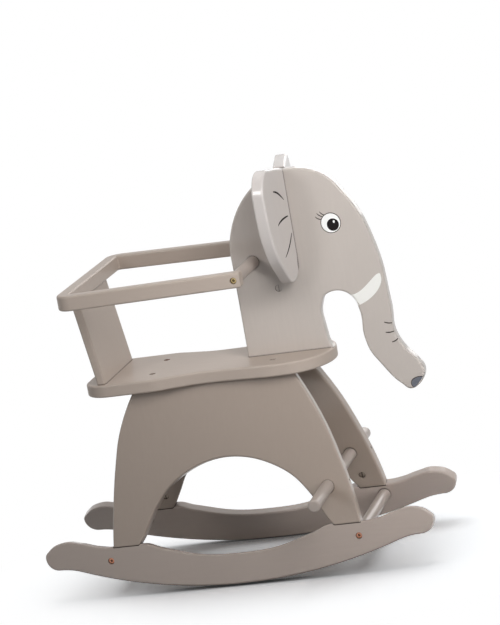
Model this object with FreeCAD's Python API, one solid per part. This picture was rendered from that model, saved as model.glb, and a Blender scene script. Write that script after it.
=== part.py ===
# Wooden ride-on rocking elephant: boards with rounded edges, dowels and furniture bolts.
# Millimetres. +X is forward (the trunk), +Y the elephant's left, +Z up.
# The origin is on the floor under the middle of the level toy.
import FreeCAD
import Part
import math
import os

V = FreeCAD.Vector

# Stock that the pieces are cut from
board = 18.0              # thickness of every flat board
edge_round = 3.0          # rounding along the edges of the boards
dowel_d = 18.0            # round bars
overrun = 60.0            # how far a cutting shape runs past what it cuts
fit = 0.2                 # clearance between a drilled hole and what sits in it
seam = 1e-4               # how closely the seams of a piece meet

# Side frames: a rocker and a leg panel in one leaning plane, v is the height along the board
splay_deg = 13.5          # how far the frames lean in towards the seat
floor_half_gap = 105.3    # middle to a rocker's inner face, at the floor
rocker_half_length = 288.0
rocker_radius = 730.0     # curve that the toy rocks on
rocker_tip_long = 53.0    # from the end of that curve to a rocker's end
tip_radius = 20.0         # round of a rocker's end
rocker_top_v = 84.3       # top of the bump behind each tip
rocker_waist_v = 43.8     # lowest place of the rocker's top edge
shoulder_v = 71.0         # rocker's top edge beside a foot
notch_depth = 2.5         # how far a foot is let into the rocker
foot_inner_x = 140.5
foot_outer_x = 184.0
foot_corner = 6.0         # round of the foot's inner corner
arch_top_v = 181.0        # crown of the arch between the legs
leg_top_front_x = 111.0
leg_top_rear_x = -126.0

# Seat
seat_top_z = 304.5
seat_rear_x = -196.0
seat_front_x = 165.5
seat_rear_half = 83.0     # half width of the broad rear part
seat_waist_half = 67.5
seat_front_half = 75.5
seat_corner = 38.0        # round of the rear corners
seat_nose_half = 42.0     # half width where the bowed front edge starts

# Backrest and the ring that the child sits in
back_thick = 12.5
back_half_width = 75.0
back_foot_x = -166.0      # middle of the panel's foot on the seat
back_head_x = -183.5      # middle of its top, under the ring
ring_rear_x = -190.0
ring_front_x = 78.5
ring_rear_half = 148.0
ring_front_half = 131.0
ring_bar = 18.0           # width of the ring's bars, seen from above
ring_height = 22.0
ring_bottom_z = 430.5
ring_corner = 22.0
crossbar_x = 69.0

# Head
neck_rear_x = 38.0
head_length = 249.5       # back of the neck to the front of the trunk
head_height = 264.0       # seat to the crown
ear_x = 135.0             # where an ear's front face meets the head
ear_sweep_deg = 8.0
ear_width = 87.0
ear_bottom_z = 410.5
ear_height = 168.0

# Footrest and spreader bars
footrest_x = 142.3
footrest_z = 124.3
footrest_length = 384.0
spreader_front_x = 179.0
spreader_rear_x = -189.0
spreader_z = 52.6

# Furniture bolts and barrel nuts
bolt_d = 6.0
head_d = 9.0
head_long = 5.0
socket_flats = 4.0
socket_deep = 2.5
counterbore_d = 9.6
nut_d = 10.0
nut_long = 14.0
nut_slot = 1.4
bolt_past_nut = 4.0       # how far a bolt ends beyond its nut's middle
rocker_bolt_x = 152.0
rocker_bolt_recess = 12.0
rocker_nut_v = 90.5
seat_bolt_front_x = 82.0
seat_bolt_rear_x = -98.0
seat_bolt_recess = 6.0
seat_nut_below = 42.0     # seat's underside to the nuts in the legs
head_bolt_x = 100.0
head_nut_above = 95.0     # seat's top to the nut in the neck
spreader_bolt_long = 58.0
ring_bolt_long = 62.0

# Wood screws and glued wooden pins
screw_d = 4.0
lock_screw_long = 22.0
lock_screw_recess = 2.0
lock_screw_above = 3.5      # from the footrest's middle up to the screw that locks it
back_screw_long = 48.0
back_screw_head_d = 8.0
back_screw_head_long = 3.0
pin_d = 8.0
pin_long = 30.0
small_pin_d = 6.0
foot_pin_x = 172.0
head_pin_offset = 36.0    # from the head bolt to each pin
ear_pin_gap = 60.0        # between an ear's two pins
back_fixing_gap = 52.0    # between the fixings of the backrest

# Values that follow from those above
splay = math.radians(splay_deg)
seat_bottom_z = seat_top_z - board
foot_v = shoulder_v - notch_depth
rocker_curve_half = rocker_half_length - rocker_tip_long  # where the curve ends, from the middle
# a board that leans and has rounded edges touches the floor on the round of its inner edge
floor_lift = edge_round * (math.cos(splay) + math.sin(splay) - 1)
back_height = ring_bottom_z - seat_top_z
ring_mid_z = ring_bottom_z + ring_height / 2

# Outlines as shares of the sizes above, chosen by hand along the photographed edges
# rocker's top edge from the tip's bump down to the foot: x between foot and tip, rise above the shoulder
bump_shares = [(0.91, 0.42), (0.70, 1.0), (0.45, 0.66), (0.25, 0.22), (0.04, 0.0)]
# rocker's top edge between the feet: x of the inner foot edge, rise from the waist to the shoulder
dip_shares = [(1.0, 1.0), (0.80, 0.68), (0.36, 0.10), (0.0, 0.0)]
# leg edges: x between the foot and the top corner, v between foot and seat
leg_front_shares = [(0.10, 0.20), (0.28, 0.43), (0.50, 0.655), (0.76, 0.85)]
leg_rear_shares = [(0.12, 0.27), (0.28, 0.51), (0.47, 0.715), (0.73, 0.875)]
# arch between the legs: x out from its middle to the foot's inner corner, v between foot and crown
arch_shares = [(0.925, 0.20), (0.80, 0.47), (0.65, 0.69), (0.46, 0.85), (0.24, 0.96)]
# seat's side: x between rear and front, half width between waist and the broadest place at that end
seat_rear_shares = [(0.28, 1.0), (0.365, 0.55), (0.46, 0.03)]
seat_front_shares = [(0.56, 0.05), (0.66, 0.45), (0.79, 1.0), (0.885, 0.35)]
# head: x from the back of the neck over its length, z from the seat over its height
head_shares = [
    (0.508, 0.000), (0.488, 0.035), (0.480, 0.085), (0.481, 0.240), (0.505, 0.285), (0.550, 0.304),
    (0.677, 0.245), (0.692, 0.190), (0.698, 0.020), (0.716, -0.045), (0.760, -0.115), (0.862, -0.242),
    (0.914, -0.279), (0.968, -0.258), (1.008, -0.175), (0.979, -0.120), (0.927, -0.060), (0.883, 0.019),
    (0.875, 0.205), (0.850, 0.490), (0.737, 0.798), (0.589, 0.960), (0.440, 1.000), (0.270, 0.972),
    (0.180, 0.915), (0.012, 0.660), (0.000, 0.450), (0.000, 0.300)]
# ear: distance from the head over its width, height over its own
ear_shares = [
    (-0.166, 0.506), (0.000, 0.147), (0.055, 0.052), (0.230, 0.000), (0.645, 0.153), (0.855, 0.318),
    (1.000, 0.690), (0.965, 0.880), (0.800, 0.985), (0.420, 0.985), (-0.166, 0.925)]


def between(low, high, share):
    """The place at a share of the way from low to high."""
    return low + (high - low) * share


def line(a, b):
    return Part.makeLine(a, b)


def unit(way):
    return way * (1 / way.Length)


def arc_from(a, way, b):
    """An arc that leaves a in the given way and ends at b, or a line where it is straight."""
    chord = b - a
    aside = way - unit(chord) * way.dot(unit(chord))
    if aside.Length < 1e-6:
        return line(a, b)
    rise = chord.Length / 2 * math.tan(way.getAngle(chord) / 2)
    return Part.Arc(a, (a + b) * 0.5 + unit(aside) * rise, b).toShape()


def mirror_way(way, chord):
    """The way at the far end of an arc over a chord, from the way at its near end."""
    along = unit(chord)
    return along * (2 * way.dot(along)) - way


def curve(points, first_way=None, last_way=None):
    """A smooth outline through points, two tangent arcs from each point to the next."""
    steps = [b - a for a, b in zip(points, points[1:])]
    ways = [unit(p * (q.Length / p.Length) + q * (p.Length / q.Length)) for p, q in zip(steps, steps[1:])]
    first = unit(first_way) if first_way else mirror_way(ways[0], steps[0])
    last = unit(last_way) if last_way else mirror_way(ways[-1], steps[-1])
    ways = [first] + ways + [last]
    edges = []
    for a, b, go, come in zip(points, points[1:], ways, ways[1:]):
        step, both = b - a, go + come
        spread = 2 * (1 - go.dot(come))
        if spread < 1e-9:
            reach = step.dot(step) / (4 * step.dot(come))
        else:
            reach = (math.sqrt(step.dot(both) ** 2 + spread * step.dot(step)) - step.dot(both)) / spread
        joint = (a + b + (go - come) * reach) * 0.5
        edges += [arc_from(a, go, joint), arc_from(joint, mirror_way(go, joint - a), b)]
    return edges


def arc(a, b, c):
    """An arc of a circle through three points."""
    return Part.Arc(a, b, c).toShape()


def plate(edges, depth):
    """A board: the closed outline made of edges, given its thickness."""
    return Part.Face(Part.Wire(Part.__sortEdges__(edges))).extrude(depth)


def rounded(solid, radius, keep):
    """The solid with the edges that keep() picks rounded."""
    return solid.makeFillet(radius, [edge for edge in solid.Edges if keep(edge)]).Solids[0]


def both_rounded(solid, axis, places, keep=lambda box: True):
    """A board with the edges around its two faces rounded, one face after the other."""
    for place in places:
        def on_face(edge):
            box = edge.BoundBox
            low = {"x": box.XMin, "y": box.YMin, "z": box.ZMin}[axis]
            high = {"x": box.XMax, "y": box.YMax, "z": box.ZMax}[axis]
            return max(abs(low - place), abs(high - place)) < 10 * seam and keep(box)
        solid = rounded(solid, edge_round, on_face)
    return solid


def rod(start, direction, length, diameter):
    return Part.makeCylinder(diameter / 2, length, start, direction)


def mirrored(shape):
    """The same piece on the other side of the toy."""
    other = shape.mirror(V(0, 0, 0), V(0, 1, 0))
    other.fix(seam / 10, seam / 10, seam)
    return other


def lean(shape):
    """Takes a shape of the right-hand frame from its flat board plane to its place."""
    placed = shape.copy()
    placed.rotate(V(0, 0, 0), V(1, 0, 0), -splay_deg)
    placed.translate(V(0, -floor_half_gap, -floor_lift))
    return placed


def inner_face_y(z):
    """Distance from the middle to the inner face of a side frame, at a height."""
    return floor_half_gap - (z + floor_lift) * math.tan(splay)


def board_v(z):
    """Height along the leaning board for a height above the floor, at mid thickness."""
    return (z + floor_lift - board / 2 * math.sin(splay)) / math.cos(splay)


def ring_half(x):
    """Half width over the ring's outer faces at a place along the toy."""
    share = (x - ring_rear_x) / (ring_front_x - ring_rear_x)
    return between(ring_rear_half, ring_front_half, share)


# Fasteners

def socket_bolt(tip_length):
    """A bolt along +Z: the shank ends at the origin side, the head's top is at the far end."""
    shank = rod(V(0, 0, 0), V(0, 0, 1), tip_length, bolt_d)
    head = rod(V(0, 0, tip_length), V(0, 0, 1), head_long, head_d)
    corners = [V(socket_flats / math.sqrt(3) * math.cos(math.radians(60 * k)),
                 socket_flats / math.sqrt(3) * math.sin(math.radians(60 * k)),
                 tip_length + head_long - socket_deep) for k in range(7)]
    socket = Part.Face(Part.makePolygon(corners)).extrude(V(0, 0, socket_deep + overrun))
    return shank.fuse(head).removeSplitter().cut(socket)


def barrel_nut():
    """A round cross nut along Y with its slotted end at y = 0 and a bolt hole along Z."""
    body = rod(V(0, 0, 0), V(0, -1, 0), nut_long, nut_d)
    hole = rod(V(0, -nut_long / 2, -nut_d), V(0, 0, 1), 2 * nut_d, bolt_d)
    slot = Part.makeBox(nut_slot, nut_slot, 2 * nut_d, V(-nut_slot / 2, -nut_slot, -nut_d))
    return body.cut(hole).cut(slot)


def turned(shape, axis, degrees, place):
    """A copy of a fastener, turned about an axis at the origin and moved to its place."""
    copy = shape.copy()
    copy.rotate(V(0, 0, 0), axis, degrees)
    copy.translate(place)
    return copy


def rocker_bottom_v(x):
    return rocker_radius - math.sqrt(rocker_radius ** 2 - x ** 2)


def rocker_bolt_seat_v():
    """Height in the board at which the head of a rocker bolt pulls."""
    return rocker_bottom_v(rocker_bolt_x) + rocker_bolt_recess


def rocker_bolts_flat():
    """Bolts that pull a leg panel down on its rocker, in the board plane."""
    length = rocker_nut_v + bolt_past_nut - rocker_bolt_seat_v()
    bolt = socket_bolt(length)
    return [turned(bolt, V(1, 0, 0), 180, V(side * rocker_bolt_x, -board / 2, rocker_nut_v + bolt_past_nut))
            for side in (-1, 1)]


def rocker_nuts_flat():
    inner = -(board / 2 - nut_long / 2)
    return [turned(barrel_nut(), V(0, 1, 0), 0, V(side * rocker_bolt_x, inner, rocker_nut_v))
            for side in (-1, 1)]


def foot_pins_flat():
    return [rod(V(side * foot_pin_x, -board / 2, foot_v - pin_long / 2), V(0, 0, 1), pin_long, pin_d)
            for side in (-1, 1)]


def seat_nut_v():
    return board_v(seat_bottom_z - seat_nut_below)


def seat_bolt_head_v():
    """Height in the board plane of the face that a seat bolt's head pulls on."""
    return board_v(seat_top_z - seat_bolt_recess)


def seat_bolts_flat():
    """Bolts from the seat's top down into the leg panels, in the board plane."""
    low = seat_nut_v() - bolt_past_nut
    return [turned(socket_bolt(seat_bolt_head_v() - low), V(0, 0, 1), 0, V(x, -board / 2, low))
            for x in (seat_bolt_rear_x, seat_bolt_front_x)]


def seat_nuts_flat():
    inner = -(board / 2 - nut_long / 2)
    return [turned(barrel_nut(), V(0, 1, 0), 0, V(x, inner, seat_nut_v()))
            for x in (seat_bolt_rear_x, seat_bolt_front_x)]


def both_sides(flat_shapes):
    """The leaning places of board-plane shapes on the right side and on the left."""
    right = [lean(shape) for shape in flat_shapes]
    return right + [mirrored(shape) for shape in right]


def cross_nut_bores(places, v, reach):
    """Bores for barrel nuts, open at the board's inner face."""
    return [rod(V(x, overrun, v), V(0, -1, 0), overrun + reach, nut_d + fit) for x in places]


# Side frames

def rocker_outline():
    """Half of the rocker's outline at +X, from the middle of the floor curve to the waist."""
    curve_end = V(rocker_curve_half, 0, rocker_bottom_v(rocker_curve_half))
    slope = math.asin(rocker_curve_half / rocker_radius)
    tip_x = rocker_half_length - tip_radius
    sweep_radius = (tip_x - rocker_curve_half) / math.sin(slope)
    tip_low_v = curve_end.z + sweep_radius * (1 - math.cos(slope))
    half = slope / 2
    sweep_mid = V(tip_x - sweep_radius * math.sin(half), 0, tip_low_v - sweep_radius * (1 - math.cos(half)))
    tip_v = tip_low_v + tip_radius
    rise = rocker_top_v - shoulder_v
    bump = [V(between(foot_outer_x, rocker_half_length, sx), 0, shoulder_v + rise * sz)
            for sx, sz in bump_shares]
    tip_end = V(rocker_half_length, 0, tip_v)
    dip = [V(foot_inner_x * sx, 0, between(rocker_waist_v, shoulder_v, sz)) for sx, sz in dip_shares]
    half_angle = math.radians(45)
    low_mid = V(tip_x + tip_radius * math.sin(half_angle), 0, tip_v - tip_radius * math.cos(half_angle))
    return [
        arc(V(0, 0, 0), V(rocker_curve_half / 2, 0, rocker_bottom_v(rocker_curve_half / 2)), curve_end),
        arc(curve_end, sweep_mid, V(tip_x, 0, tip_low_v)),
        arc(V(tip_x, 0, tip_low_v), low_mid, tip_end),
        line(bump[-1], dip[0]),
    ] + curve([tip_end] + bump, V(0, 0, 1), V(-1, 0, 0)) + curve(dip, V(-1, 0, 0), V(-1, 0, 0))


def right_rocker_flat():
    half = rocker_outline()
    other = [edge.mirror(V(0, 0, 0), V(1, 0, 0)) for edge in half]
    blank = plate(half + other, V(0, -board, 0))
    blank = both_rounded(blank, "y", (0, -board))
    head_v = rocker_bolt_seat_v()
    for side in (-1, 1):
        x = side * rocker_bolt_x
        blank = blank.cut(rod(V(x, -board / 2, -overrun), V(0, 0, 1), overrun + head_v, counterbore_d))
        blank = blank.cut(rod(V(x, -board / 2, 0), V(0, 0, 1), overrun + head_v, bolt_d + fit))
    for tool in [leg_blank_flat()] + foot_pins_flat():
        blank = blank.cut(tool)
    return blank


def right_rocker():
    rocker = lean(right_rocker_flat())
    for x in (spreader_front_x, spreader_rear_x):
        seat_y = spreader_bolt_seat_y()
        rocker = rocker.cut(rod(V(x, 0, spreader_z), V(0, -1, 0), seat_y + overrun, bolt_d + fit))
        rocker = rocker.cut(rod(V(x, -seat_y, spreader_z), V(0, -1, 0), overrun, counterbore_d))
    return rocker


def leg_edge(foot_x, top_x, shares):
    """One outer edge of the leg panel, from its foot to above the seat's underside."""
    top_v = board_v(seat_bottom_z)
    points = [V(between(foot_x, top_x, sx), 0, between(foot_v, top_v, sv)) for sx, sv in shares]
    last = V(top_x, 0, top_v)
    way = unit(last - points[-1])
    beyond = last + way * board
    return curve([V(foot_x, 0, foot_v)] + points + [last], None, way) + [line(last, beyond)], beyond


def leg_blank_flat():
    """The leg panel's board before its edges are rounded; its feet also shape the rocker's notches."""
    front, front_top = leg_edge(foot_outer_x, leg_top_front_x, leg_front_shares)
    rear, rear_top = leg_edge(-foot_outer_x, leg_top_rear_x, leg_rear_shares)
    corner = V(foot_inner_x + foot_corner, 0, foot_v)
    half = [V(foot_inner_x, 0, foot_v + foot_corner)]
    half += [V(foot_inner_x * sx, 0, between(foot_v, arch_top_v, sv)) for sx, sv in arch_shares]
    half.insert(0, corner)
    other = [V(-point.x, 0, point.z) for point in reversed(half)]
    arch = curve(half + [V(0, 0, arch_top_v)] + other, V(-1, 0, 0), V(-1, 0, 0))
    feet = [line(V(side * foot_outer_x, 0, foot_v), V(side * corner.x, 0, foot_v)) for side in (-1, 1)]
    edges = front + rear + [line(front_top, rear_top)] + arch + feet
    return plate(edges, V(0, -board, 0))


def right_leg_flat():
    blank = both_rounded(leg_blank_flat(), "y", (0, -board), lambda box: box.ZMax > foot_v + edge_round)
    for bore in rocker_bores() + foot_pins_flat():
        blank = blank.cut(bore)
    reach = board / 2 + nut_long / 2
    for bore in cross_nut_bores((-rocker_bolt_x, rocker_bolt_x), rocker_nut_v, reach):
        blank = blank.cut(bore)
    for bore in cross_nut_bores((seat_bolt_rear_x, seat_bolt_front_x), seat_nut_v(), reach):
        blank = blank.cut(bore)
    low = seat_nut_v() - bolt_past_nut
    for x in (seat_bolt_rear_x, seat_bolt_front_x):
        blank = blank.cut(rod(V(x, -board / 2, low), V(0, 0, 1), overrun + seat_nut_below, bolt_d + fit))
    return blank


def rocker_bores():
    end_v = rocker_nut_v + bolt_past_nut
    feet = [V(side * rocker_bolt_x, -board / 2, 0) for side in (-1, 1)]
    return [rod(foot, V(0, 0, 1), end_v, bolt_d + fit) for foot in feet]


def lock_screw_v():
    return board_v(footrest_z + lock_screw_above)


def lock_screw_front():
    """X of the front end of the screw that locks the footrest, just inside the leg's front edge."""
    top_v = board_v(seat_bottom_z)
    share_v = (lock_screw_v() - foot_v) / (top_v - foot_v)
    low, high = leg_front_shares[0], leg_front_shares[1]
    share_x = between(low[0], high[0], (share_v - low[1]) / (high[1] - low[1]))
    return between(foot_outer_x, leg_top_front_x, share_x) - lock_screw_recess


def right_leg_panel():
    leg = lean(right_leg_flat())
    leg = leg.cut(Part.makeBox(4 * rocker_half_length, 4 * floor_half_gap, seat_top_z,
                               V(-2 * rocker_half_length, -2 * floor_half_gap, seat_bottom_z)))
    footrest_end = V(footrest_x, -footrest_length, footrest_z)
    leg = leg.cut(rod(footrest_end, V(0, 1, 0), 2 * footrest_length, dowel_d + fit))
    screw_bore = rod(V(footrest_x, -board / 2, lock_screw_v()), V(1, 0, 0), overrun, screw_d + fit)
    return leg.cut(lean(screw_bore))


def footrest_lock_screws():
    front = lock_screw_front()
    back = V(front - lock_screw_long, -board / 2, lock_screw_v())
    screw = rod(back, V(1, 0, 0), lock_screw_long, screw_d)
    slot = Part.makeBox(socket_deep, screw_d, nut_slot / 2,
                        V(front - nut_slot, -board / 2 - screw_d / 2, lock_screw_v() - nut_slot / 4))
    return Part.Compound(both_sides([screw.cut(slot)]))


# Bars

def footrest_dowel():
    bar = rod(V(footrest_x, -footrest_length / 2, footrest_z), V(0, 1, 0), footrest_length, dowel_d)
    bar = both_rounded(bar, "y", (-footrest_length / 2, footrest_length / 2))
    for screw in footrest_lock_screws().Solids:
        bar = bar.cut(screw)
    return bar


def spreader_bolt_seat_y():
    """Distance from the middle to where a spreader bolt's head pulls on the rocker."""
    return inner_face_y(spreader_z) + board / math.cos(splay) - head_long - edge_round


def spreader_bolts_at(x):
    tip_y = spreader_bolt_seat_y() - spreader_bolt_long
    right = turned(socket_bolt(spreader_bolt_long), V(1, 0, 0), 90, V(x, -tip_y, spreader_z))
    return [right, mirrored(right)]


def spreader_bolts():
    return spreader_bolts_at(spreader_front_x) + spreader_bolts_at(spreader_rear_x)


def spreader(x):
    """A bar between the rockers, its ends cut to their leaning faces."""
    reach = floor_half_gap + overrun
    bar = rod(V(x, -reach, spreader_z), V(0, 1, 0), 2 * reach, dowel_d)
    outside = lean(Part.makeBox(4 * rocker_half_length, 2 * reach, 4 * rocker_top_v,
                                V(-2 * rocker_half_length, -2 * reach, -2 * rocker_top_v)))
    bar = bar.cut(outside).cut(mirrored(outside))
    for bolt in spreader_bolts_at(x):
        bar = bar.cut(bolt)
    return bar


def ring_bolts():
    """Bolts through the ring's arms into the ends of the crossbar."""
    seat_y = ring_half(crossbar_x) - head_long - edge_round
    tip = V(crossbar_x, ring_bolt_long - seat_y, ring_mid_z)
    right = turned(socket_bolt(ring_bolt_long), V(1, 0, 0), 90, tip)
    return [right, mirrored(right)]


def ring_crossbar():
    inner = ring_half(crossbar_x) - ring_bar / 2
    bar = rod(V(crossbar_x, -inner, ring_mid_z), V(0, 1, 0), 2 * inner, dowel_d)
    bar = bar.cut(ring_blank())
    for bolt in ring_bolts():
        bar = bar.cut(bolt)
    return bar


# Seat, backrest and ring

def seat_outline_right():
    """The seat's right-hand outline from the middle of its rear end to the middle of its front end."""
    def side(shares, widest):
        places = [(between(seat_rear_x, seat_front_x, sx), sy) for sx, sy in shares]
        return [V(x, -between(seat_waist_half, widest, sy), seat_bottom_z) for x, sy in places]
    rear = side(seat_rear_shares, seat_rear_half)
    front = side(seat_front_shares, seat_front_half)
    bend = seat_corner * (1 - math.sqrt(0.5))
    corner_start = V(seat_rear_x, -(seat_rear_half - seat_corner), seat_bottom_z)
    corner_middle = V(seat_rear_x + bend, -(seat_rear_half - bend), seat_bottom_z)
    corner_end = V(seat_rear_x + seat_corner, -seat_rear_half, seat_bottom_z)
    bow = seat_nose_half ** 2 / (2 * seat_front_half)
    nose = V(seat_front_x - bow, -seat_nose_half, seat_bottom_z)
    return [
        line(V(seat_rear_x, 0, seat_bottom_z), corner_start),
        arc(corner_start, corner_middle, corner_end),
        line(corner_end, rear[0]),
    ] + curve(rear + front + [nose], V(1, 0, 0)), nose


def seat_board():
    right, nose = seat_outline_right()
    left = [mirrored(edge) for edge in right]
    front = arc(nose, V(seat_front_x, 0, seat_bottom_z), V(nose.x, -nose.y, nose.z))
    seat = plate(right + left + [front], V(0, 0, board))
    seat = both_rounded(seat, "z", (seat_bottom_z, seat_top_z))
    for bore in seat_bolt_bores():
        seat = seat.cut(bore)
    head_seat_z = seat_bottom_z + seat_bolt_recess
    below = V(head_bolt_x, 0, seat_bottom_z - overrun)
    seat = seat.cut(rod(below, V(0, 0, 1), 2 * overrun, bolt_d + fit))
    seat = seat.cut(rod(below, V(0, 0, 1), overrun + head_seat_z - seat_bottom_z, counterbore_d))
    for pin in head_pins().Solids + backrest_screws().Solids:
        seat = seat.cut(pin)
    return seat


def seat_bolt_bores():
    flat = []
    for x in (seat_bolt_rear_x, seat_bolt_front_x):
        flat.append(rod(V(x, -board / 2, seat_nut_v()), V(0, 0, 1), 2 * overrun, bolt_d + fit))
        flat.append(rod(V(x, -board / 2, seat_bolt_head_v()), V(0, 0, 1), overrun, counterbore_d))
    return both_sides(flat)


def back_way():
    """Unit direction up the leaning backrest."""
    way = V(back_head_x - back_foot_x, 0, back_height)
    return way * (1 / way.Length)


def backrest_panel():
    way = back_way()
    across = V(way.z, 0, -way.x)
    half = across * (back_thick / 2)
    run = way * (board / way.z)
    low = V(back_foot_x, -back_half_width, seat_top_z) - run
    high = V(back_head_x, -back_half_width, ring_bottom_z) + run
    corners = [low - half, low + half, high + half, high - half, low - half]
    panel = Part.Face(Part.makePolygon(corners)).extrude(V(0, 2 * back_half_width, 0))
    panel = both_rounded(panel, "y", (-back_half_width, back_half_width))
    keep = Part.makeBox(4 * back_height, 4 * back_half_width, back_height,
                        V(back_foot_x - 2 * back_height, -2 * back_half_width, seat_top_z))
    panel = panel.common(keep)
    for piece in backrest_screws().Solids + ring_pins().Solids:
        panel = panel.cut(piece)
    return panel


def backrest_screws():
    """Countersunk screws from under the seat up into the backrest."""
    way = back_way()
    screws = []
    for k in (-1, 0, 1):
        foot = V(back_foot_x, k * back_fixing_gap, seat_top_z) - way * (board / way.z)
        sunk = foot + way * edge_round
        shank = rod(foot, way, back_screw_long, screw_d)
        head = Part.makeCone(back_screw_head_d / 2, screw_d / 2, back_screw_head_long, sunk, way)
        lead = rod(sunk, way, back_screw_long, screw_d)
        screws.append(head.fuse(lead.common(shank)).removeSplitter())
    return Part.Compound(screws)


def ring_pins():
    """Wooden pins that stand between the backrest and the ring's rear bar."""
    way = back_way()
    start = V(back_head_x, 0, ring_bottom_z) - way * (pin_long / 2)
    return Part.Compound([rod(start + V(0, k * back_fixing_gap, 0), way, pin_long, small_pin_d)
                          for k in (-1, 0, 1)])


def ring_blank():
    """The U-shaped ring without its bores."""
    def corners(rear, inset):
        front = ring_front_x + (0 if inset == 0 else overrun)
        places = [(front, -1), (rear, -1), (rear, 1), (front, 1)]
        return [V(x, side * (ring_half(x) - inset), ring_bottom_z) for x, side in places]
    outer = corners(ring_rear_x, 0)
    inner = corners(ring_rear_x + ring_bar, ring_bar)
    blank = Part.Face(Part.makePolygon(outer + [outer[0]])).extrude(V(0, 0, ring_height))
    hole = Part.Face(Part.makePolygon(inner + [inner[0]])).extrude(V(0, 0, ring_height))
    inside = inner[1].x

    def upright(edge, x):
        box = edge.BoundBox
        return box.ZLength > ring_height / 2 and abs(box.XMin - x) < 10 * seam
    blank = rounded(blank, ring_corner, lambda edge: upright(edge, ring_rear_x))
    hole = rounded(hole, edge_round, lambda edge: upright(edge, inside))
    return blank.cut(hole)


def seat_ring():
    ring = both_rounded(ring_blank(), "z", (ring_bottom_z, ring_bottom_z + ring_height))
    half = ring_half(crossbar_x)
    for side in (-1, 1):
        way = V(0, side, 0)
        head_seat = V(crossbar_x, side * (half - head_long - edge_round), ring_mid_z)
        ring = ring.cut(rod(V(crossbar_x, 0, ring_mid_z), way, half + overrun, bolt_d + fit))
        ring = ring.cut(rod(head_seat, way, overrun, counterbore_d))
    for pin in ring_pins().Solids:
        ring = ring.cut(pin)
    return ring


# Head and ears

def head_panel():
    foot = V(neck_rear_x, -board / 2, seat_top_z)
    points = [foot + V(head_length * sx, 0, head_height * sz) for sx, sz in head_shares]
    edges = curve(points, None, V(0, 0, -1)) + [line(points[-1], foot), line(foot, points[0])]
    panel = plate(edges, V(0, board, 0))
    above_seat = seat_top_z + edge_round
    panel = both_rounded(panel, "y", (-board / 2, board / 2), lambda box: box.ZMax > above_seat)
    nut_place = V(head_bolt_x, -board, seat_top_z + head_nut_above)
    bolt_bore = rod(V(head_bolt_x, 0, seat_top_z), V(0, 0, 1), head_nut_above + bolt_past_nut, bolt_d + fit)
    panel = panel.cut(rod(V(crossbar_x, -board, ring_mid_z), V(0, 1, 0), 2 * board, dowel_d + fit))
    panel = panel.cut(bolt_bore)
    panel = panel.cut(rod(nut_place, V(0, 1, 0), board + nut_long / 2, nut_d + fit))
    for pin in head_pins().Solids + ear_pins().Solids:
        panel = panel.cut(pin)
    return panel


def head_pins():
    low_z = seat_top_z - pin_long / 3
    places = [V(head_bolt_x + side * head_pin_offset, 0, low_z) for side in (-1, 1)]
    return Part.Compound([rod(place, V(0, 0, 1), pin_long, pin_d) for place in places])


def ear_blank():
    """The right ear: its front face meets the head at ear_x and it sweeps back from there."""
    points = [V(0, -ear_width * su, ear_bottom_z + ear_height * sz) for su, sz in ear_shares]
    ear = plate(curve(points) + [line(points[-1], points[0])], V(-board, 0, 0))
    inner_y = ear_width * -ear_shares[0][0]
    ear = both_rounded(ear, "x", (0, -board), lambda box: box.YMin < inner_y - edge_round)
    ear.rotate(V(0, 0, 0), V(0, 0, 1), -ear_sweep_deg)
    ear.translate(V(ear_x, -board / 2, 0))
    head_side = Part.makeBox(4 * ear_width, 4 * ear_width, 2 * seat_top_z,
                             V(ear_x - 2 * ear_width, -board / 2, seat_top_z))
    return ear.cut(head_side)


def right_ear():
    ear = ear_blank()
    for pin in ear_pins().Solids:
        ear = ear.cut(pin)
    return ear


def ear_pins():
    """Glued pins from the head into each ear, square to the ear's end grain."""
    sweep = math.radians(ear_sweep_deg)
    out = V(-math.sin(sweep), -math.cos(sweep), 0)
    middle_z = seat_top_z + head_height - ear_height / 2 + ear_pin_gap / 4
    right = []
    for side in (-1, 1):
        root = V(ear_x - board / 2, -board / 2, middle_z + side * ear_pin_gap / 2) - out * (pin_d * 0.8)
        right.append(rod(root, out, pin_long, small_pin_d))
    return Part.Compound(right + [mirrored(pin) for pin in right])


def head_bolt():
    seat_z = seat_bottom_z + seat_bolt_recess
    top_z = seat_top_z + head_nut_above + bolt_past_nut
    return turned(socket_bolt(top_z - seat_z), V(1, 0, 0), 180, V(head_bolt_x, 0, top_z))


def head_nut():
    return turned(barrel_nut(), V(0, 0, 1), 180, V(head_bolt_x, -nut_long / 2, seat_top_z + head_nut_above))


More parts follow.
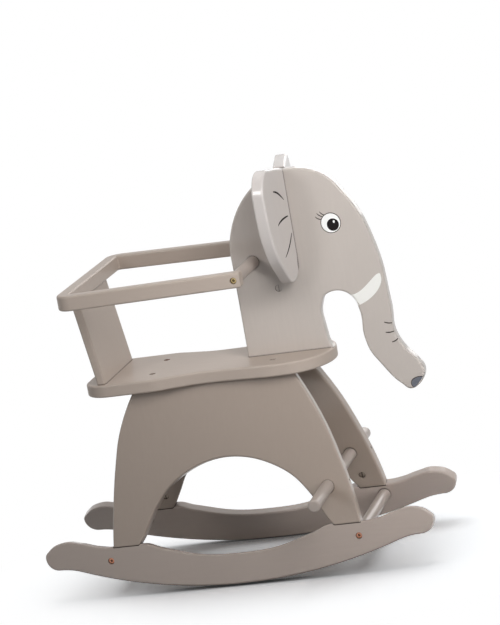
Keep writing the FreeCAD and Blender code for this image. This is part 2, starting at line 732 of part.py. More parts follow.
def build():
    """Every node of the toy by name."""
    rocker, leg, ear = right_rocker(), right_leg_panel(), right_ear()
    return {
        "right_rocker": rocker,
        "left_rocker": mirrored(rocker),
        "right_leg_panel": leg,
        "left_leg_panel": mirrored(leg),
        "seat_board": seat_board(),
        "head_panel": head_panel(),
        "right_ear": ear,
        "left_ear": mirrored(ear),
        "backrest_panel": backrest_panel(),
        "seat_ring": seat_ring(),
        "ring_crossbar": ring_crossbar(),
        "footrest_dowel": footrest_dowel(),
        "front_spreader": spreader(spreader_front_x),
        "rear_spreader": spreader(spreader_rear_x),
        "spreader_bolts": Part.Compound(spreader_bolts()),
        "ring_arm_bolts": Part.Compound(ring_bolts()),
        "rocker_bolts": Part.Compound(both_sides(rocker_bolts_flat())),
        "rocker_bolt_nuts": Part.Compound(both_sides(rocker_nuts_flat())),
        "foot_pins": Part.Compound(both_sides(foot_pins_flat())),
        "seat_bolts": Part.Compound(both_sides(seat_bolts_flat())),
        "seat_bolt_nuts": Part.Compound(both_sides(seat_nuts_flat())),
        "head_bolt": head_bolt(),
        "head_bolt_nut": head_nut(),
        "head_pins": head_pins(),
        "ear_pins": ear_pins(),
        "backrest_screws": backrest_screws(),
        "ring_pins": ring_pins(),
        "footrest_lock_screws": footrest_lock_screws(),
    }


os.makedirs("parts", exist_ok=True)
for name, shape in build().items():
    shape.exportStep("parts/" + name + ".step")
    box = shape.BoundBox
    print("%-22s solids %d valid %s volume %9.0f x %.1f %.1f y %.1f %.1f z %.1f %.1f" % (
        name, len(shape.Solids), shape.isValid(), shape.Volume,
        box.XMin, box.XMax, box.YMin, box.YMax, box.ZMin, box.ZMax))
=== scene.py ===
# %% [markdown]
# # A wooden rocking elephant, dressed for its portrait
# The toy is a nursery ride-on: boards of 18 mm with softly rounded edges, sprayed in a warm grey satin
# lacquer, with an eye, a tusk and a few folds painted on it afterwards. The boards, bars and fasteners come
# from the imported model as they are. This script gives them their finish, adds what the painter added, and
# sets up floor, light and camera.

import math

import bmesh
import bpy
from mathutils import Matrix, Vector
from mathutils.bvhtree import BVHTree
from mathutils.geometry import interpolate_bezier


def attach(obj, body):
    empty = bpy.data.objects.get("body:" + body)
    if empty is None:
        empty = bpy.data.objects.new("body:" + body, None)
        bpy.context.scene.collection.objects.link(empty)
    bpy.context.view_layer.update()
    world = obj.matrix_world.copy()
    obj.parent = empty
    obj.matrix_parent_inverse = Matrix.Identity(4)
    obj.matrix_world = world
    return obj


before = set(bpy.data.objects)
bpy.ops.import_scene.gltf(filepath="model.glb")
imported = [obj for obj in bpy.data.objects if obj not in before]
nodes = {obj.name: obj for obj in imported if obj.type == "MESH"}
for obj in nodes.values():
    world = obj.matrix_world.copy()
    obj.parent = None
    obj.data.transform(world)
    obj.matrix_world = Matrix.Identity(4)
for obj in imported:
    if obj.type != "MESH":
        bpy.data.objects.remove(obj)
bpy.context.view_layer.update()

# %% [markdown]
# ## Where the photographer stood
# The picture was taken from the elephant's right, a little in front and about a metre up, with a long lens
# from four metres away, so the two rockers look almost parallel. The toy stands level in the model, and the
# picture leans, so the camera is rolled. Its three directions are written out as they were measured.

# %% The camera
MM = 0.001
LENS = 165.5
AIM = Vector((49.82, 0, 367.78)) * MM
DISTANCE = 4122.86 * MM
FARTHEST_SEEN = 100
RIGHT = Vector((0.95968727, 0.22285721, -0.17127467))
UP = Vector((0.11955462, 0.22782935, 0.96633352))
AHEAD = Vector((-0.25437579, 0.94785466, -0.19200132))

camera = bpy.data.objects.new("camera", bpy.data.cameras.new("camera"))
camera.data.lens = LENS
camera.data.dof.use_dof = False
camera.data.clip_end = FARTHEST_SEEN
turn = Matrix((RIGHT, UP, -AHEAD)).transposed()
camera.matrix_world = Matrix.Translation(AIM - AHEAD * DISTANCE) @ turn.to_4x4()
bpy.context.scene.collection.objects.link(camera)
bpy.context.scene.camera = camera
print("camera at", [round(v, 3) for v in camera.matrix_world.translation])

# %% [markdown]
# ## Building materials from nodes
# Every material here is a small net of shader nodes. A few helpers keep the net readable: one makes a node
# and feeds its sockets by name, one reckons with two values, and one turns the colours of the screen into
# the linear ones that the shaders reckon in.

# %% Helpers for nodes
def new_material(name):
    """An empty node material, its node tree and the output's surface socket."""
    material = bpy.data.materials.new(name)
    material.use_nodes = True
    material.node_tree.nodes.clear()
    output = material.node_tree.nodes.new("ShaderNodeOutputMaterial")
    return material, material.node_tree, output.inputs["Surface"]


def feed(tree, socket, value):
    """Links a value that is itself a socket, and sets any other."""
    if isinstance(value, bpy.types.NodeSocket):
        tree.links.new(value, socket)
    else:
        socket.default_value = value


def add_node(tree, kind, operation=None, **values):
    """A node with its sockets fed by name. An operation is set first, because it decides the sockets."""
    node = tree.nodes.new("ShaderNode" + kind)
    if operation:
        node.operation = operation
    for name, value in values.items():
        feed(tree, node.inputs[name.replace("_", " ")], value)
    return node


def reckon(tree, operation, one, other):
    """The result of a maths operation on two values, each a number or a socket."""
    node = add_node(tree, "Math", operation)
    feed(tree, node.inputs[0], one)
    feed(tree, node.inputs[1], other)
    return node.outputs[0]


def srgb(red, green, blue):
    """A screen colour, 0 to 255, as the linear colour that the shaders use."""
    def linear(value):
        value /= 255
        return value / 12.92 if value <= 0.04045 else ((value + 0.055) / 1.055) ** 2.4
    return (linear(red), linear(green), linear(blue), 1)


print("a screen grey of 128 is", round(srgb(128, 128, 128)[0], 3), "in light")

# %% [markdown]
# ## What is only there to be looked at
# Floor and surroundings have two jobs: they are the picture's white ground, and they throw light back on
# the toy. A share that is 1 on the rays that look and 0 on the rays that carry light keeps the two apart.

# %% What the camera and mirrors see
WHITE = (1, 1, 1, 1)


def seen_rays(tree):
    """1 on rays from the camera, a mirror or glass, and 0 on the rays that carry light about."""
    rays = add_node(tree, "LightPath").outputs
    mirrored = reckon(tree, "MAXIMUM", rays["Is Camera Ray"], rays["Is Glossy Ray"])
    return reckon(tree, "MAXIMUM", mirrored, rays["Is Transmission Ray"])


print("white ground", WHITE)

# %% [markdown]
# ## A white studio
# The picture's ground is plain white paper. A floor that is only white would still look grey in places, so
# what the camera sees of it fades to pure white away from the toy, while near the toy it stays a real lit
# surface and catches the soft shadow of the rockers.

# %% The floor
FLOOR_SIZE = 60

floor_mesh = bmesh.new()
bmesh.ops.create_grid(floor_mesh, x_segments=8, y_segments=8, size=FLOOR_SIZE / 2)
floor_data = bpy.data.meshes.new("floor")
floor_mesh.to_mesh(floor_data)
floor_mesh.free()
floor = bpy.data.objects.new("floor", floor_data)
bpy.context.scene.collection.objects.link(floor)
print("floor", FLOOR_SIZE, "m wide, in", len(floor_data.polygons), "faces")

# %% [markdown]
# ## The paper and its shadow
# In the picture the shadow is deep right under the rockers and gone a hand's width away. So the colour that
# the camera sees of the paper is darker the more the toy closes off the sky above it. It's also a touch
# blue, which makes up for the warm light that comes off the toy, since the picture's shadow is neutral.

# %% White paper
LIT_RADIUS, WHITE_RADIUS = 0.19, 0.50
FADE_SHIFT, FADE_SHAPE = (-0.05, 0, 0), (1, 1.3, 1)
SHADOW_REACH, SHADOW_SAMPLES = 0.30, 16
CLOSED_SKY, OPEN_SKY = 0.15, 0.92
FLOOR_SEEN, FLOOR_DEEP, FLOOR_BOUNCE, FLOOR_GLOW = 3.2, 0.35, 0.6, 0.02
FLOOR_TINT = (0.97, 1.0, 1.03)


def far_from_toy(tree):
    """0 on the floor near the toy, rising softly to 1 away from it."""
    place = add_node(tree, "TexCoord").outputs["Object"]
    oval = add_node(tree, "Mapping", Vector=place, Location=FADE_SHIFT, Scale=FADE_SHAPE)
    away = add_node(tree, "VectorMath", "LENGTH", Vector=oval.outputs["Vector"])
    fade = add_node(tree, "MapRange", Value=away.outputs["Value"], From_Min=LIT_RADIUS, From_Max=WHITE_RADIUS)
    fade.interpolation_type = "SMOOTHSTEP"
    return fade.outputs["Result"]


def paper_colour(tree, seen):
    """The paper's colour, with a painted shadow that deepens under the toy for the camera, plain to the light
    it throws back.
    """
    sky = add_node(tree, "AmbientOcclusion", Distance=SHADOW_REACH)
    sky.samples = SHADOW_SAMPLES
    shadow = add_node(tree, "MapRange", Value=sky.outputs["AO"], From_Min=CLOSED_SKY, From_Max=OPEN_SKY,
                      To_Min=FLOOR_DEEP, To_Max=FLOOR_SEEN)
    share = add_node(tree, "MapRange", Value=seen, To_Min=FLOOR_BOUNCE, To_Max=shadow.outputs["Result"])
    tinted = add_node(tree, "VectorMath", "SCALE", Vector=FLOOR_TINT, Scale=share.outputs["Result"])
    return tinted.outputs["Vector"]


paper, tree, surface = new_material("white paper")
seen = seen_rays(tree)
glow = add_node(tree, "MapRange", Value=seen, To_Min=0.0, To_Max=FLOOR_GLOW)
lit = add_node(tree, "BsdfDiffuse", Color=paper_colour(tree, seen))
lift = add_node(tree, "Emission", Color=WHITE, Strength=glow.outputs["Result"])
near = add_node(tree, "AddShader")
feed(tree, near.inputs[0], lit.outputs[0])
feed(tree, near.inputs[1], lift.outputs[0])
white = add_node(tree, "Emission", Color=WHITE, Strength=1.0)
whole = add_node(tree, "MixShader", Fac=reckon(tree, "MULTIPLY", far_from_toy(tree), seen))
feed(tree, whole.inputs[1], near.outputs[0])
feed(tree, whole.inputs[2], white.outputs[0])
feed(tree, surface, whole.outputs[0])
floor_data.materials.append(paper)
print("paper with", len(tree.nodes), "nodes, white beyond", WHITE_RADIUS, "m")

# %% [markdown]
# ## Light
# The picture was lit from the front by a tall soft light on the camera's right, so the head is the
# brightest part, the rockers are the darkest, and a pale line runs down the rounded edge of forehead and
# trunk, where the lacquer mirrors that light. All lamps here are soft boxes: areas that glow evenly. A lamp
# can also be told which objects it has to leave out.

# %% Helpers for lamps
FULL_SPREAD = 180


def soft_box(name, place, aim, size, power, spread=FULL_SPREAD):
    """A rectangular area lamp at a place, upright and turned to its aim."""
    lamp = bpy.data.lights.new(name, "AREA")
    lamp.shape = "RECTANGLE"
    lamp.size, lamp.size_y = size
    lamp.energy = power
    lamp.spread = math.radians(spread)
    holder = bpy.data.objects.new(name, lamp)
    holder.location = place
    holder.rotation_euler = (Vector(aim) - Vector(place)).to_track_quat("-Z", "Y").to_euler()
    holder.visible_camera = False
    bpy.context.scene.collection.objects.link(holder)
    return holder


def keep_off(lamp, *objects):
    """Lets a lamp light everything but these objects."""
    spared = bpy.data.collections.new("not lit by the " + lamp.name)
    for k, obj in enumerate(objects):
        spared.objects.link(obj)
        spared.collection_objects[k].light_linking.link_state = "EXCLUDE"
    lamp.light_linking.receiver_collection = spared


print("a lamp spreads over", FULL_SPREAD, "degrees where nothing narrows it")

# %% [markdown]
# ## The front light
# Two lamps in one place share its work. One lights the wood. The other only shows in the gloss, and leaves
# out the seat and the ring, whose level tops would throw it back as glare.

# %% The front light and its image
FRONT_PLACE, FRONT_AIM, FRONT_SIZE, FRONT_SPREAD = (1.25, -1.20, 1.10), (0.18, 0, 0.45), (0.6, 1.5), 120
tall_light = soft_box("tall front light", FRONT_PLACE, FRONT_AIM, FRONT_SIZE, 7.0, FRONT_SPREAD)
tall_light.visible_glossy = False
rim_light = soft_box("rim light", FRONT_PLACE, FRONT_AIM, FRONT_SIZE, 6.0, FRONT_SPREAD)
rim_light.visible_diffuse = False
keep_off(rim_light, floor, nodes["seat_board"], nodes["seat_ring"])
print("front light", tall_light.data.energy, "W and its image", rim_light.data.energy, "W")

# %% [markdown]
# ## The other lamps
# A small one lifts the head, one on the left throws the ear's soft shade on it, and a low one reaches the
# rockers' front ends. Two more, on the far side and at the rear, light what this picture doesn't show. All
# of them leave out the floor, so that its shadow is drawn only by the one above.

# %% Lamps around the toy
# Each has its name, place, aim and size in metres, its watts and the angle of its cone in degrees.
side_lights = [
    soft_box("head light", (0.60, -0.75, 0.90), (0.20, 0, 0.48), (0.5, 0.5), 0.9, 90),
    soft_box("left light", (-0.65, -1.45, 1.15), (0.22, 0, 0.52), (0.7, 0.7), 0.44, 22),
    soft_box("low light", (1.30, -0.90, 0.30), (0.29, 0.08, 0.06), (0.4, 0.3), 0.08, 15),
    soft_box("far side light", (0.30, 2.00, 1.10), (0, 0, 0.3), (1.2, 1.2), 9.0),
    soft_box("rear light", (-2.10, 0.50, 1.00), (0, 0, 0.3), (1.0, 1.0), 4.0),
]
for lamp in (tall_light, *side_lights):
    keep_off(lamp, floor)
top_light = soft_box("top light", (0.0, 0.45, 1.9), (0, 0, 0.2), (1.6, 1.4), 7.0)
print("lamps", [(lamp.name, round(lamp.data.energy, 2)) for lamp in (*side_lights, top_light)])

# %% [markdown]
# ## The surroundings
# They add a weak even light from all sides, and the camera and the gloss see them as white.

# %% Surroundings
AMBIENT = 0.20

world = bpy.data.worlds.new("studio")
bpy.context.scene.world = world
world.use_nodes = True
tree = world.node_tree
tree.nodes.clear()
strength = add_node(tree, "MapRange", Value=seen_rays(tree), To_Min=AMBIENT, To_Max=1.0)
sky = add_node(tree, "Background", Color=WHITE, Strength=strength.outputs["Result"])
output = tree.nodes.new("ShaderNodeOutputWorld")
feed(tree, output.inputs["Surface"], sky.outputs[0])
bpy.context.scene.view_settings.view_transform = "Standard"
print("surroundings light with", AMBIENT, "and look", strength.inputs["To Max"].default_value)

# %% [markdown]
# ## The grey lacquer
# On the real toy the boards are sprayed: the coat is even, but not dead. It drifts a little in tone over a
# board, the satin gloss varies, and close up there is a fine dimpling, like the skin of an orange, over the
# faint lines of the wood below. All of that is made from noise on object coordinates, so it sits still on
# the toy, with the same few nodes for every piece. Where two pieces meet, and down in the holes, the colour
# goes dark over a few millimetres: a painted shade.

# %% Shade in seams
# Painted shade: the dark colour that seams and holes go to.
PAINTED_SEAM_SHADE = srgb(54, 45, 40)
SEAM_REACH, SEAM_SAMPLES = 3.5 * MM, 8
SEAM_CLOSED, SEAM_OPEN = 0.38, 0.85


def two_tones(tree, share, low, high):
    """A colour that goes from low to high with a share; each may be a colour or a socket."""
    blend = add_node(tree, "Mix")
    blend.data_type = "RGBA"
    feed(tree, blend.inputs["Factor"], share)
    colours = [socket for socket in blend.inputs if socket.type == "RGBA"]
    feed(tree, colours[0], low)
    feed(tree, colours[1], high)
    return next(socket for socket in blend.outputs if socket.type == "RGBA")


def seam_shade(tree, colour, shade_colour, reach):
    """The colour, darkened as a painted shade where another surface stands closer than the reach: in seams
    and holes.
    """
    gap = add_node(tree, "AmbientOcclusion", Distance=reach)
    gap.samples = SEAM_SAMPLES
    openness = add_node(tree, "MapRange", Value=gap.outputs["AO"], From_Min=SEAM_CLOSED, From_Max=SEAM_OPEN)
    return two_tones(tree, openness.outputs["Result"], shade_colour, colour)


print("seams darken over", round(SEAM_REACH / MM, 1), "mm")

# %% [markdown]
# ## A coat of lacquer
# The shader is the plain one with a clear coat on top. Its gloss is a little rougher than the coat's, so an
# edge shows a soft sheen with a thin bright line in it. The wood's lines run along one axis of the board,
# the one with the small scale.

# %% The lacquer's nodes
LONG, UPRIGHT, ACROSS, EVEN = (6, 60, 60), (60, 60, 6), (60, 6, 60), (30, 30, 30)
CLOUD_SCALE, FIBRE_SCALE, DIMPLE_SCALE = 7.0, 4.0, 650.0
FIBRE_FROM, FIBRE_FULL, FIBRE_SHARE = 0.3, 0.7, 0.5
DIMPLE_HEIGHT, FIBRE_HEIGHT = 0.4 * MM, 0.6 * MM
UNDER_GLOSS, COAT_GLOSS, COAT_ROUGHNESS = 0.2, 0.75, 0.10


def lacquer(name, colour, along=LONG, drift=0.05, roughness=(0.36, 0.48), grain=0.05, shine=1.0,
            seam=SEAM_REACH):
    """Sprayed lacquer on wood, with its grain running along the axis that has the small scale."""
    material, tree, surface = new_material(name)
    place = add_node(tree, "TexCoord").outputs["Object"]
    cloud = add_node(tree, "TexNoise", Vector=place, Scale=CLOUD_SCALE, Detail=2.0)
    light, dark = [tuple(c * (1 + sign * drift) for c in colour[:3]) + (1,) for sign in (1, -1)]
    tone = two_tones(tree, cloud.outputs["Fac"], dark, light)
    stretched = add_node(tree, "Mapping", Vector=place, Scale=along)
    fibre = add_node(tree, "TexNoise", Vector=stretched.outputs["Vector"], Scale=FIBRE_SCALE, Detail=4.0,
                     Roughness=0.6)
    faint = add_node(tree, "MapRange", Value=fibre.outputs["Fac"], From_Min=FIBRE_FROM, From_Max=FIBRE_FULL,
                     To_Max=FIBRE_SHARE)
    tone = two_tones(tree, faint.outputs["Result"], tone, dark)
    gloss = add_node(tree, "MapRange", Value=fibre.outputs["Fac"], To_Min=roughness[0], To_Max=roughness[1])
    orange_skin = add_node(tree, "TexNoise", Vector=place, Scale=DIMPLE_SCALE, Detail=1.0)
    fine = add_node(tree, "Bump", Strength=0.035, Distance=DIMPLE_HEIGHT, Height=orange_skin.outputs["Fac"])
    relief = add_node(tree, "Bump", Strength=grain, Distance=FIBRE_HEIGHT, Height=fibre.outputs["Fac"],
                      Normal=fine.outputs["Normal"])
    coat = add_node(tree, "BsdfPrincipled", Base_Color=seam_shade(tree, tone, PAINTED_SEAM_SHADE, seam),
                    Roughness=gloss.outputs["Result"], Normal=relief.outputs["Normal"],
                    Specular_IOR_Level=UNDER_GLOSS * shine, Coat_Weight=COAT_GLOSS * shine,
                    Coat_Roughness=COAT_ROUGHNESS)
    feed(tree, surface, coat.outputs["BSDF"])
    return material


print("a coat shows", COAT_GLOSS, "of its gloss over", UNDER_GLOSS, "below")

# %% [markdown]
# ## The greys
# One lacquer, but not one grey: the picture's boards differ a little with their place in the light, and the
# colours are matched to it piece by piece. The seat and the ring are the most matt.

# %% Lacquers
GREY = srgb(190, 181, 174)
head_grey = lacquer("grey lacquer on the head", GREY, UPRIGHT)
nut_grey = lacquer("grey lacquer on the neck's nut", GREY, UPRIGHT, seam=1.0 * MM)
# The ears' grey is paler than the head's: painted light.
lit_ear_grey = lacquer("pale grey lacquer on the ears", srgb(204, 197, 193), UPRIGHT)
seat_grey = lacquer("grey lacquer on the seat and ring", srgb(187, 173, 162), shine=0.25)
# The legs' and rockers' greys are darker than the head's: painted shade.
shaded_leg_grey = lacquer("grey lacquer on the legs", srgb(163, 148, 136), UPRIGHT)
shaded_rocker_grey = lacquer("grey lacquer on the rockers", srgb(174, 160, 151))
bar_grey = lacquer("grey lacquer on bars", srgb(180, 168, 160), ACROSS, grain=0.03, shine=0.5)
beech = lacquer("bare beech", srgb(205, 172, 128), UPRIGHT, drift=0.10, roughness=(0.55, 0.7), grain=0.2)
print("lacquers on head, ears, seat, legs, rockers and bars, and bare", beech.name.split()[1])

# %% [markdown]
# ## Metal
# The bolts are ordinary furniture bolts with a hexagon socket. Most are plated in copper, those in the seat
# are copper darkened as a painted shade of their holes, and the two in the ring's arms are brass. The cross
# nuts and the hidden bolts are zinc plated. Plating is never even: noise moves the gloss and the tone, and a
# fine bump stands for the wear of the tool.

# %% The metal's nodes
# Painted shade: the metal goes nearly black down in the sockets and round each recess.
PAINTED_SOCKET_SHADE, SOCKET_REACH = srgb(38, 26, 22), 3 * MM
PLATING_SCALE, WEAR_HEIGHT = 260.0, 0.2 * MM


def metal(name, bright, dull, roughness):
    """Plated steel that goes from bright to dull in small clouds, with a painted shade black down in the
    sockets.
    """
    material, tree, surface = new_material(name)
    place = add_node(tree, "TexCoord").outputs["Object"]
    cloud = add_node(tree, "TexNoise", Vector=place, Scale=PLATING_SCALE, Detail=3.0)
    tone = two_tones(tree, cloud.outputs["Fac"], dull, bright)
    gloss = add_node(tree, "MapRange", Value=cloud.outputs["Fac"], To_Min=roughness[0], To_Max=roughness[1])
    worn = add_node(tree, "Bump", Strength=0.1, Distance=WEAR_HEIGHT, Height=cloud.outputs["Fac"])
    plate = add_node(tree, "BsdfPrincipled", Base_Color=seam_shade(tree, tone, PAINTED_SOCKET_SHADE, SOCKET_REACH),
                     Roughness=gloss.outputs["Result"], Normal=worn.outputs["Normal"], Metallic=1.0)
    feed(tree, surface, plate.outputs["BSDF"])
    return material


copper = metal("copper plating", srgb(232, 172, 144), srgb(150, 92, 68), (0.22, 0.42))
# The seat's bolts are darkened: a painted shade of the holes they sit in.
shaded_copper = metal("copper plating, darkened as painted shade", srgb(150, 104, 82), srgb(66, 42, 32), (0.30, 0.50))
brass = metal("brass plating", srgb(222, 200, 150), srgb(150, 126, 84), (0.22, 0.40))
zinc = metal("zinc plating", srgb(190, 176, 162), srgb(118, 106, 96), (0.25, 0.42))
print("metals", [plating.name for plating in (copper, shaded_copper, brass, zinc)])

# %% [markdown]
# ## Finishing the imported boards
# The model's meshes are loose triangles, which would show every facet of a rounded edge. Three modifiers
# mend that and leave the mesh itself alone: one welds the triangles, one keeps the true corners hard, and
# one weighs the normals by face, so the flat boards stay flat and only the roundings are smooth.

# %% Smooth shading and finish for every node
CORNER_DEG = 35
WELD_REACH = 0.001 * MM
FINISH = {
    "right_rocker": shaded_rocker_grey, "left_rocker": shaded_rocker_grey,
    "right_leg_panel": shaded_leg_grey, "left_leg_panel": shaded_leg_grey,
    "seat_board": seat_grey, "seat_ring": seat_grey, "backrest_panel": seat_grey,
    "head_panel": head_grey, "head_bolt_nut": nut_grey,
    "right_ear": lit_ear_grey, "left_ear": lit_ear_grey,
    "ring_crossbar": bar_grey, "footrest_dowel": bar_grey,
    "front_spreader": bar_grey, "rear_spreader": bar_grey,
    "spreader_bolts": copper, "footrest_lock_screws": copper,
    "ring_arm_bolts": brass, "seat_bolts": shaded_copper,
    "rocker_bolts": zinc, "rocker_bolt_nuts": zinc, "seat_bolt_nuts": zinc,
    "head_bolt": zinc, "backrest_screws": zinc,
    "foot_pins": beech, "head_pins": beech, "ear_pins": beech, "ring_pins": beech,
}


def keep_corners(obj):
    """Smooth shading over the roundings, with every corner steeper than the limit kept hard."""
    obj.data.polygons.foreach_set("use_smooth", [True] * len(obj.data.polygons))
    corners = obj.modifiers.new("corners", "EDGE_SPLIT")
    corners.split_angle = math.radians(CORNER_DEG)
    corners.use_edge_sharp = False


def finish_node(name, material):
    """Smooth shading without touching the mesh's points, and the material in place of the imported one."""
    obj = nodes[name]
    mesh = obj.data
    if "custom_normal" in mesh.attributes:
        mesh.attributes.remove(mesh.attributes["custom_normal"])
    weld = obj.modifiers.new("weld", "WELD")
    weld.merge_threshold = WELD_REACH
    keep_corners(obj)
    flat = obj.modifiers.new("flat faces", "WEIGHTED_NORMAL")
    flat.weight = 100
    mesh.materials.clear()
    mesh.materials.append(material)


for node_name, finish in FINISH.items():
    finish_node(node_name, finish)
print("finished", len(FINISH), "of", len(nodes), "nodes")

# %% [markdown]
# ## Paint that lies on the wood
# Eye, tusk, nostril and folds are a second coat, brushed or printed over the lacquer. Each is modelled as a
# thin skin: a flat sheet is drawn in the board's plane, laid on the board's real surface, so that it
# follows the rounded edge where it reaches it, and thickened. A skin of its own keeps a crisp edge at any
# size of picture, which a pattern in the material would not. Where coats lie on each other, each stands a
# little prouder than the one below.

# %% Laying a sheet on a board
PAINT_DEPTH = 0.30 * MM
FIRST_COAT, LINE_COAT, SECOND_COAT, THIRD_COAT, FOURTH_COAT = 0.08, 0.12, 0.14, 0.20, 0.26
MERGE_REACH = 0.01 * MM


def surface_of(node):
    """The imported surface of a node, to find the nearest place on it."""
    mesh = nodes[node].data
    return BVHTree.FromPolygons([v.co for v in mesh.vertices], [tuple(p.vertices) for p in mesh.polygons])


def skin(name, sheet, board, rise, paint):
    """Turns a drawn sheet into a closed skin on the board, raised by so many mm, and hands it to the toy."""
    for vertex in sheet.verts:
        spot, normal, _, _ = board.find_nearest(vertex.co)
        vertex.co = spot + normal * (rise * MM)
    bmesh.ops.remove_doubles(sheet, verts=sheet.verts, dist=MERGE_REACH)
    bmesh.ops.recalc_face_normals(sheet, faces=sheet.faces)
    outward = sum((face.normal for face in sheet.faces), Vector())
    _, normal, _, _ = board.find_nearest(next(iter(sheet.verts)).co)
    if outward.dot(normal) < 0:
        bmesh.ops.reverse_faces(sheet, faces=sheet.faces)
    bmesh.ops.solidify(sheet, geom=sheet.faces[:], thickness=PAINT_DEPTH)
    bmesh.ops.recalc_face_normals(sheet, faces=sheet.faces)
    mesh = bpy.data.meshes.new(name)
    sheet.to_mesh(mesh)
    sheet.free()
    mesh.materials.append(paint)
    piece = bpy.data.objects.new(name, mesh)
    bpy.context.scene.collection.objects.link(piece)
    keep_corners(piece)
    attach(piece, "root")


print("a coat of paint is", round(PAINT_DEPTH / MM, 2), "mm deep")

# %% [markdown]
# ## Drawing with curves
# Every painted shape is drawn by a few points that its lines run through. The lines are Bezier curves, and
# a grid of faces fills the space between two of them.

# %% Lines and the sheets between them
def path(points, steps):
    """Even steps along a Bezier curve through its first and last point, drawn by the points between."""
    if len(points) == 3:
        first, middle, last = points
        pull = middle * 2 - (first + last) / 2
        handles = first + (pull - first) * 2 / 3, last + (pull - last) * 2 / 3
    else:
        first, second, third, last = points
        handles = ((-5 * first + 18 * second - 9 * third + 2 * last) / 6,
                   (2 * first - 9 * second + 18 * third - 5 * last) / 6)
    return interpolate_bezier(first, *handles, last, steps + 1)


def sheet_between(one, other, rows, end_round=0.0):
    """A grid that fills the space between two drawn lines; end_round rounds off its far end."""
    steps = len(one) - 1
    sheet = bmesh.new()
    bmesh.ops.create_grid(sheet, x_segments=steps, y_segments=rows, size=0.5)
    for vertex in sheet.verts:
        step = (vertex.co.x + 0.5) * steps
        low = min(int(step + 1e-6), steps - 1)
        share = step - low
        a = one[low].lerp(one[low + 1], share)
        b = other[low].lerp(other[low + 1], share)
        reach = (step / steps - (1 - end_round)) / end_round if end_round else -1
        width = math.sqrt(max(0.0, 1 - reach * reach)) if reach > 0 else 1
        vertex.co = (a + b) / 2 + (b - a) * (vertex.co.y * width)
    return sheet


hill = path([Vector((0, 0, 0)), Vector((1, 1, 0)), Vector((2, 0, 0))], 4)
print("a line over a hill has its top at", tuple(hill[2]))

# %% [markdown]
# ## The paints
# White for tusk and eye, black for the pupil, dark greys for the lines and a blue grey for the nostril.
# Brushed paint is nearly even, with a slightly streaky gloss, and more matt than the lacquer.

# %% Paints
def paint_of(name, colour, shine=0.1):
    """Brushed paint in a screen colour."""
    return lacquer(name, srgb(*colour), EVEN, drift=0.03, roughness=(0.40, 0.55), grain=0.03, shine=shine)


ivory = paint_of("white paint", (240, 239, 234), 0.4)
eye_white = paint_of("eye white paint", (246, 246, 244), 0.3)
black = paint_of("black paint", (26, 22, 22), 0.2)
rim_grey = paint_of("dark grey paint", (70, 62, 58))
line_grey = paint_of("line paint", (58, 50, 47))
ear_line = paint_of("ear line paint", (34, 29, 28))
blue_grey = paint_of("blue grey paint", (112, 115, 123))
print("paints", [paint.name for paint in (ivory, eye_white, black, rim_grey, line_grey, ear_line, blue_grey)])

# %% [markdown]
# ## The tusk
# A white crescent that starts on the edge of the trunk's curl and ends in a round tip near the forehead.
# Its two long edges are drawn as curves in the plane of the head, and the skin between them wraps over the
# rounded edge at its root.

# %% Tusks
FACE = 9.0
SIDES = {"right": -1, "left": 1}
TUSK_UPPER = [(198.6, 377.6), (218.0, 381.9), (235.4, 395.4), (248.9, 404.0)]
TUSK_LOWER = [(206.6, 359.4), (227.7, 367.4), (244.6, 382.2), (250.2, 400.6)]
head_surface = surface_of("head_panel")


def on_head(points, side):
    """Points of the head's plane, in millimetres, as places on its right (-1) or left (1) face."""
    return [Vector((x, side * FACE, z)) * MM for x, z in points]


for side_name, side in SIDES.items():
    upper, lower = (path(on_head(edge, side), 28) for edge in (TUSK_UPPER, TUSK_LOWER))
    skin(side_name + "_tusk", sheet_between(upper, lower, 10, end_round=0.14), head_surface, LINE_COAT, ivory)
print("tusks", len(SIDES))

# %% [markdown]
# ## The eye
# A white disc with a fine dark rim, a black pupil that sits low and towards the trunk, and a small glint.
# Each is a disc of its own. Below are its centre, its radius and how much taller than wide it is.

# %% Eyes
EYE, PUPIL, GLINT = (191.3, 483.4), (194.0, 480.6), (196.0, 484.7)
EYE_COATS = [("eye_rim", EYE, 14.8, 1.0, FIRST_COAT, rim_grey),
             ("eye_white", EYE, 13.7, 1.0, SECOND_COAT, eye_white),
             ("pupil", PUPIL, 8.7, 1.02, THIRD_COAT, black),
             ("eye_glint", GLINT, 1.5, 1.35, FOURTH_COAT, eye_white)]


def disc(centre, radius, side, tall):
    """A round sheet in the plane of the head."""
    sheet = bmesh.new()
    upright = Matrix.Rotation(math.radians(90), 4, "X") @ Matrix.Diagonal((1, tall, 1, 1))
    place = Matrix.Translation(on_head([centre], side)[0]) @ upright
    bmesh.ops.create_circle(sheet, cap_ends=True, segments=64, radius=radius * MM, matrix=place)
    return sheet


for side_name, side in SIDES.items():
    for part, centre, radius, tall, coat, paint in EYE_COATS:
        skin(side_name + "_" + part, disc(centre, radius, side, tall), head_surface, coat, paint)
print("eyes", len(SIDES), "of", len(EYE_COATS), "coats")

# %% [markdown]
# ## Lashes and folds of the trunk
# Thin brush strokes, widest in the middle or at the root and running out at the ends. Each is drawn by
# three or four points along its middle line; the stroke's width is laid off to both sides of it.

# %% Strokes
ROOT_SHARE, STROKE_TIP = 0.12, 0.12


def stroke(points, width, across, steps=12, root=0.35):
    """A tapered sheet along a drawn line; across is the direction out of the board."""
    middle = path(points, steps)
    one, other = [], []
    for k, point in enumerate(middle):
        ahead = (middle[min(k + 1, steps)] - middle[max(k - 1, 0)]).normalized()
        swell = math.sin(math.pi * min(1, ROOT_SHARE + k / steps * (1 - ROOT_SHARE)))
        half = width * MM / 2 * (root + (1 - root) * swell)
        one.append(point + ahead.cross(across) * half)
        other.append(point - ahead.cross(across) * half)
    return sheet_between(one, other, 2, end_round=STROKE_TIP)


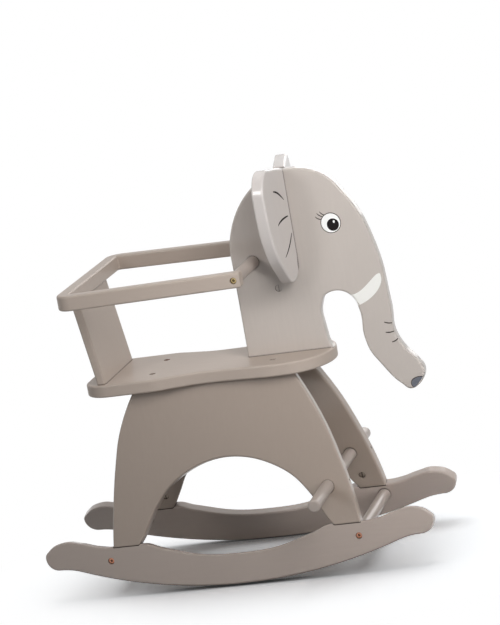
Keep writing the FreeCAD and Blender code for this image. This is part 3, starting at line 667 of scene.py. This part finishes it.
LASHES = [[(185.9, 494.7), (180.6, 497.6), (177.4, 501.8)],
          [(182.7, 492.9), (176.9, 495.7), (173.1, 499.9)],
          [(179.8, 489.8), (174.0, 491.5), (170.2, 495.5)]]
TRUNK_FOLDS = [[(243.6, 332.0), (249.3, 329.9), (256.0, 329.6)],
               [(243.4, 317.0), (250.0, 316.3), (258.2, 317.8)],
               [(250.4, 301.9), (256.0, 303.6), (261.2, 307.2)]]
HEAD_STROKES = [("lash", LASHES, 1.3, 0.35), ("trunk_fold", TRUNK_FOLDS, 1.6, 0.6)]
for side_name, side in SIDES.items():
    for part, lines, width, root in HEAD_STROKES:
        for k, points in enumerate(lines):
            sheet = stroke(on_head(points, side), width, Vector((0, side, 0)), root=root)
            skin("%s_%s_%d" % (side_name, part, k + 1), sheet, head_surface, LINE_COAT, line_grey)
print("strokes on the head", 2 * (len(LASHES) + len(TRUNK_FOLDS)))

# %% [markdown]
# ## Nostrils
# At the trunk's end a blue grey patch bulges into the face from the rounded edge, with a fine dark rim.

# %% Nostrils
NOSTRIL_BULGE = [(270.6, 233.4), (268.6, 240.2), (274.4, 245.6), (286.0, 246.6)]
NOSTRIL_RIM = [(269.6, 232.6), (267.6, 240.8), (273.8, 246.8), (287.0, 247.6)]
NOSTRIL_END = [(272.6, 232.0), (277.0, 237.0), (282.0, 242.0), (287.4, 246.6)]
NOSTRIL_COATS = [("nostril_rim", NOSTRIL_RIM, FIRST_COAT, rim_grey),
                 ("nostril", NOSTRIL_BULGE, SECOND_COAT, blue_grey)]
for side_name, side in SIDES.items():
    for part, edge, coat, paint in NOSTRIL_COATS:
        bulge, end = (path(on_head(line, side), 16) for line in (edge, NOSTRIL_END))
        skin(side_name + "_" + part, sheet_between(bulge, end, 8), head_surface, coat, paint)
print("nostrils", len(SIDES))

# %% [markdown]
# ## Folds on the ears
# Three strokes fan out over the front of each ear. They are measured from the ear's root, along the ear and
# up from the floor, and laid on the ear's own front face, which is swept back a little.

# %% Ear folds
EAR_ROOT = Vector((135.0, FACE, 0)) * MM
EAR_SWEEP = math.radians(8.0)
EAR_FOLDS = [[(48.3, 545.7), (36.0, 542.1), (24.9, 535.8), (12.9, 526.7)],
             [(9.1, 502.7), (26.8, 502.7), (42.2, 500.5), (50.9, 496.7)],
             [(6.3, 477.4), (15.2, 467.7), (28.5, 457.7), (44.7, 449.8)]]


def on_ear(points, side):
    """Points given as distance from the head and height, in millimetres, on the front of an ear."""
    out = Vector((-math.sin(EAR_SWEEP), side * math.cos(EAR_SWEEP), 0))
    root = Vector((EAR_ROOT.x, side * EAR_ROOT.y, 0))
    return [root + out * (u * MM) + Vector((0, 0, z * MM)) for u, z in points]


for side_name, side in SIDES.items():
    ear_surface = surface_of(side_name + "_ear")
    front = Vector((math.cos(EAR_SWEEP), side * math.sin(EAR_SWEEP), 0))
    for k, points in enumerate(EAR_FOLDS):
        sheet = stroke(on_ear(points, side), 2.8, front, steps=20)
        skin("%s_ear_fold_%d" % (side_name, k + 1), sheet, ear_surface, LINE_COAT, ear_line)
print("ear folds", 2 * len(EAR_FOLDS))
